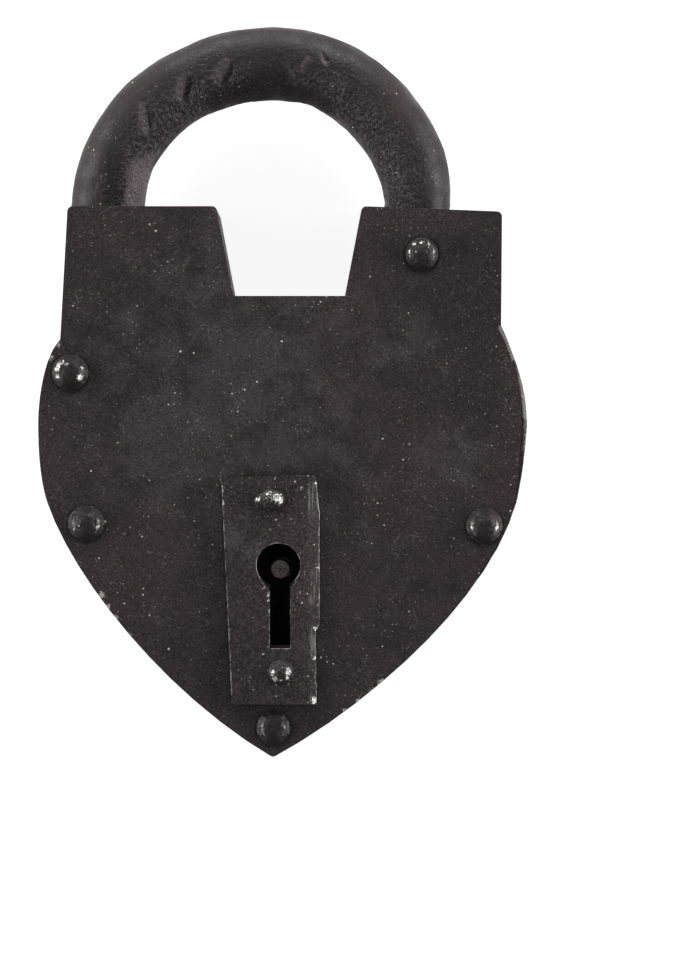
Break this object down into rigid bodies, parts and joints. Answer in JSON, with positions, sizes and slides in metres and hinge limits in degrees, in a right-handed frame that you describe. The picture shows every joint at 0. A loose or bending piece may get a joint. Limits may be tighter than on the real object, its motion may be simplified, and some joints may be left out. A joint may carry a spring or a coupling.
{
  "type": "padlock",
  "caption": "heart-shaped iron padlock with a hinged round shackle, riveted plates, a keyhole strip and a sliding bolt",
  "frame": {"origin": "under the middle of the whole lock, on the plane that its back plate lies on", "axes": "+Y from the tip of the heart to the top of the shackle, +X to the right seen from the front, +Z out of the front face; the lock lies on its back with the shackle closed and the bolt drawn back"},
  "size_m": [0.1004, 0.1508, 0.0262],
  "materials": {
    "blackened_iron": "matt black with a brown cast, rough",
    "worn_rivet": "blackened iron rubbed bright on its high spots",
    "inner_iron": "dark forge scale, lightly oiled",
    "spring_steel": "dull blued steel"
  },
  "bodies": {
    "case": {"front_plate": "blackened_iron", "back_plate": "blackened_iron", "side_band": "blackened_iron", "notch_band": "blackened_iron", "shackle_pivot_rivet": "worn_rivet", "rivet_left": "blackened_iron", "rivet_lower_left": "blackened_iron", "rivet_lower_right": "blackened_iron", "rivet_tip": "blackened_iron", "keyhole_plate": "blackened_iron", "keyhole_rivet_upper": "worn_rivet", "keyhole_rivet_lower": "worn_rivet", "drill_pin": "worn_rivet", "ward_front": "inner_iron", "ward_back": "inner_iron", "bolt_stud_left": "inner_iron", "bolt_stud_right": "inner_iron", "bolt_washer_left": "inner_iron", "bolt_washer_right": "inner_iron", "bolt_spring": "spring_steel", "spring_post": "inner_iron"},
    "shackle": {"shackle": "blackened_iron"},
    "bolt": {"bolt": "inner_iron"}
  },
  "joints": [
    {"name": "shackle_swing", "type": "hinge", "parent": "case", "child": "shackle", "pos_m": [0.02843, 0.0277, 0.0115], "axis": [0, 0, -1], "range_deg": [0, 35]},
    {"name": "bolt_slide", "type": "slide", "parent": "case", "child": "bolt", "axis": [-1, 0, 0], "range_m": [0, 0.008]}
  ]
}
